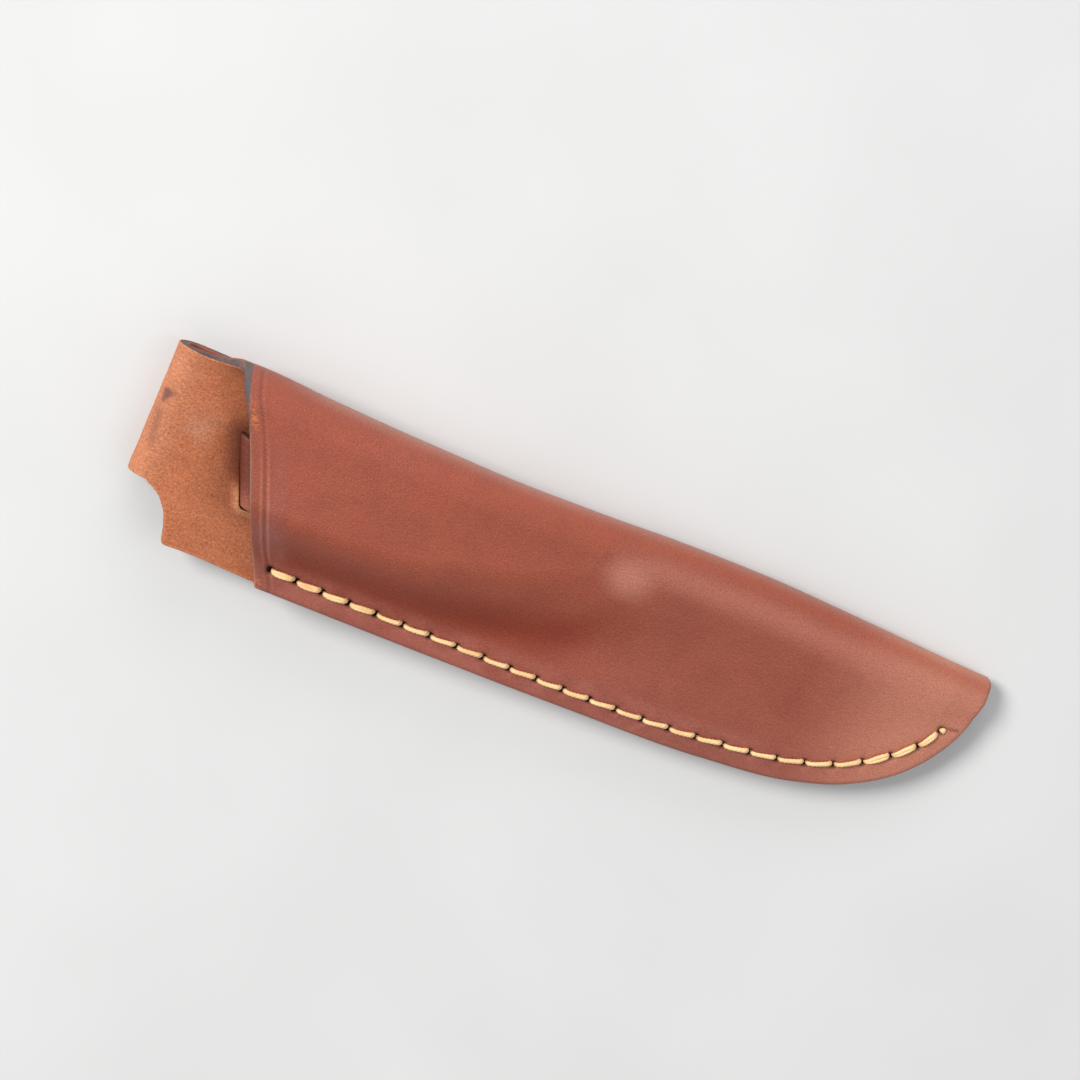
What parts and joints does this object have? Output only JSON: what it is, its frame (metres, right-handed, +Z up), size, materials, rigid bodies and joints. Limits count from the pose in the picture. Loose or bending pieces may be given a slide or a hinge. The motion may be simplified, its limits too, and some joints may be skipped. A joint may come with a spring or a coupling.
{
  "type": "knife sheath",
  "caption": "Folded leather sheath for a whittling knife, with a moulded handle pocket, a sewn curved edge and a belt loop folded from its back.",
  "frame": {"origin": "on the surface that the sheath lies on, under the middle of its box", "axes": "+X towards the tip, +Y towards the folded spine, +Z up through the moulded front; the sheath lies on its back, resting on the belt loop and the tip"},
  "size_m": [0.1802, 0.0422, 0.0227],
  "materials": {
    "hide": "smooth oiled grain, suede flesh side, painted dark edges",
    "welt_hide": "smooth, burnished edge",
    "waxed_thread": "waxed, slightly glossy"
  },
  "bodies": {
    "root": {"sheath_body": "hide", "welt": "welt_hide", "seam_needle_thread": "waxed_thread", "seam_bobbin_thread": "waxed_thread", "loop_needle_thread": "waxed_thread", "loop_bobbin_thread": "waxed_thread"}
  },
  "joints": []
}
